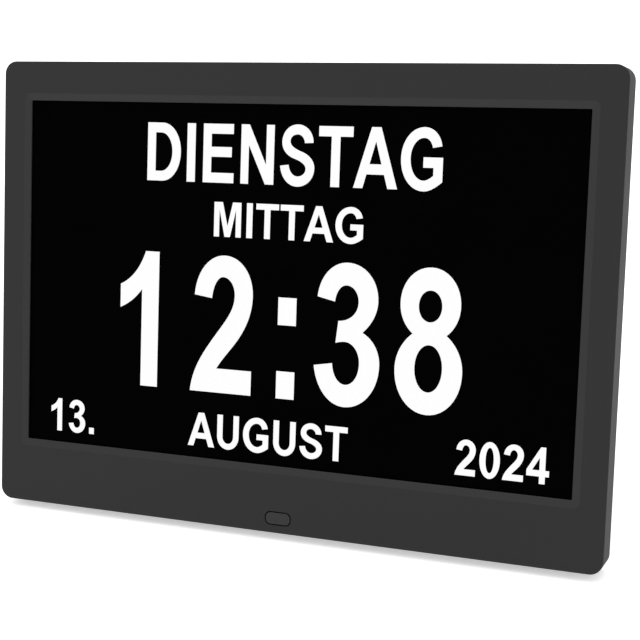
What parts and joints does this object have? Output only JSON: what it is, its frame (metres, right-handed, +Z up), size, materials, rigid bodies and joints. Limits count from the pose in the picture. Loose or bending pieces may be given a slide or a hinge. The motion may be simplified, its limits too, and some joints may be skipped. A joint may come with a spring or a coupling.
{
  "type": "digital day clock",
  "caption": "Wide-screen desk day clock: matt dark case leaning back on a folding rear stand, black display, remote receiver window, rear keys, sockets, speaker and wall keyholes.",
  "frame": {"origin": "bottom centre of the whole clock's box, on the table that it stands on", "axes": "+Z up, front of the display towards -Y and leaning back, +X to the viewer's right, along the width"},
  "size_m": [0.246, 0.0617, 0.176],
  "materials": {
    "case_plastic": "fine moulded texture",
    "key_plastic": "satin moulded",
    "smoked_window": "smooth",
    "display_face": "anti-glare black",
    "black_rubber": "matt",
    "stand_plastic": "fine moulded texture",
    "screw_steel": "black zinc",
    "plain_steel": "bright",
    "tray_steel": "rolled sheet",
    "frame_plastic": "white moulded",
    "foam": "soft foam",
    "acrylic": "clear",
    "film": "satin film",
    "circuit_board": "solder mask",
    "chip_resin": "moulded",
    "component_metal": "can",
    "ferrite": "sintered",
    "speaker_paper": "pressed paper",
    "wire_cover": "wire insulation",
    "ribbon_film": "flat cable",
    "label_film": "bare label",
    "plunger_plastic": "moulded"
  },
  "bodies": {
    "case": {"front_frame": "case_plastic", "rear_cover": "case_plastic", "ir_window": "smoked_window", "display_glass": "display_face", "display_gasket": "foam", "prism_sheet": "film", "diffuser_sheet": "film", "light_guide": "acrylic", "reflector_sheet": "film", "backlight_strip": "frame_plastic", "display_frame": "frame_plastic", "display_tray": "tray_steel", "display_clips": "plain_steel", "display_screws": "plain_steel", "display_board": "circuit_board", "display_ribbon": "ribbon_film", "cover_screws": "screw_steel", "main_board": "circuit_board", "main_chip": "chip_resin", "memory_chip": "chip_resin", "board_components": "component_metal", "board_screws": "plain_steel", "battery_holder": "chip_resin", "coin_battery": "plain_steel", "power_jack": "chip_resin", "usb_socket": "plain_steel", "card_socket": "plain_steel", "speaker_frame": "plain_steel", "speaker_magnet": "ferrite", "speaker_cone": "speaker_paper", "speaker_gasket": "foam", "speaker_leads": "wire_cover", "ir_receiver": "chip_resin", "ir_board": "circuit_board", "ir_board_screws": "plain_steel", "receiver_leads": "wire_cover", "key_board": "circuit_board", "key_board_screws": "plain_steel", "key_switches": "chip_resin", "key_ribbon": "ribbon_film", "stand_pin": "plain_steel", "case_feet": "black_rubber", "rating_label": "label_film"},
    "stand": {"stand_leg": "stand_plastic", "stand_boot": "black_rubber"},
    "power_button": {"power_key": "key_plastic", "power_plunger": "plunger_plastic"},
    "menu_button": {"menu_key": "key_plastic", "menu_plunger": "plunger_plastic"},
    "up_button": {"up_key": "key_plastic", "up_plunger": "plunger_plastic"},
    "down_button": {"down_key": "key_plastic", "down_plunger": "plunger_plastic"},
    "enter_button": {"enter_key": "key_plastic", "enter_plunger": "plunger_plastic"},
    "exit_button": {"exit_key": "key_plastic", "exit_plunger": "plunger_plastic"}
  },
  "joints": [
    {"name": "stand_hinge", "type": "hinge", "parent": "case", "child": "stand", "pos_m": [0, 0.00899, 0.10138], "axis": [1, 0, 0], "range_deg": [-22, 0]},
    {"name": "power_press", "type": "slide", "parent": "case", "child": "power_button", "axis": [0, -0.9781, 0.2079], "range_m": [0, 0.0005], "stiffness_N_per_m": 400, "springref_m": -0.001},
    {"name": "menu_press", "type": "slide", "parent": "case", "child": "menu_button", "axis": [0, -0.9781, 0.2079], "range_m": [0, 0.0005], "stiffness_N_per_m": 400, "springref_m": -0.001},
    {"name": "up_press", "type": "slide", "parent": "case", "child": "up_button", "axis": [0, -0.9781, 0.2079], "range_m": [0, 0.0005], "stiffness_N_per_m": 400, "springref_m": -0.001},
    {"name": "down_press", "type": "slide", "parent": "case", "child": "down_button", "axis": [0, -0.9781, 0.2079], "range_m": [0, 0.0005], "stiffness_N_per_m": 400, "springref_m": -0.001},
    {"name": "enter_press", "type": "slide", "parent": "case", "child": "enter_button", "axis": [0, -0.9781, 0.2079], "range_m": [0, 0.0005], "stiffness_N_per_m": 400, "springref_m": -0.001},
    {"name": "exit_press", "type": "slide", "parent": "case", "child": "exit_button", "axis": [0, -0.9781, 0.2079], "range_m": [0, 0.0005], "stiffness_N_per_m": 400, "springref_m": -0.001}
  ]
}
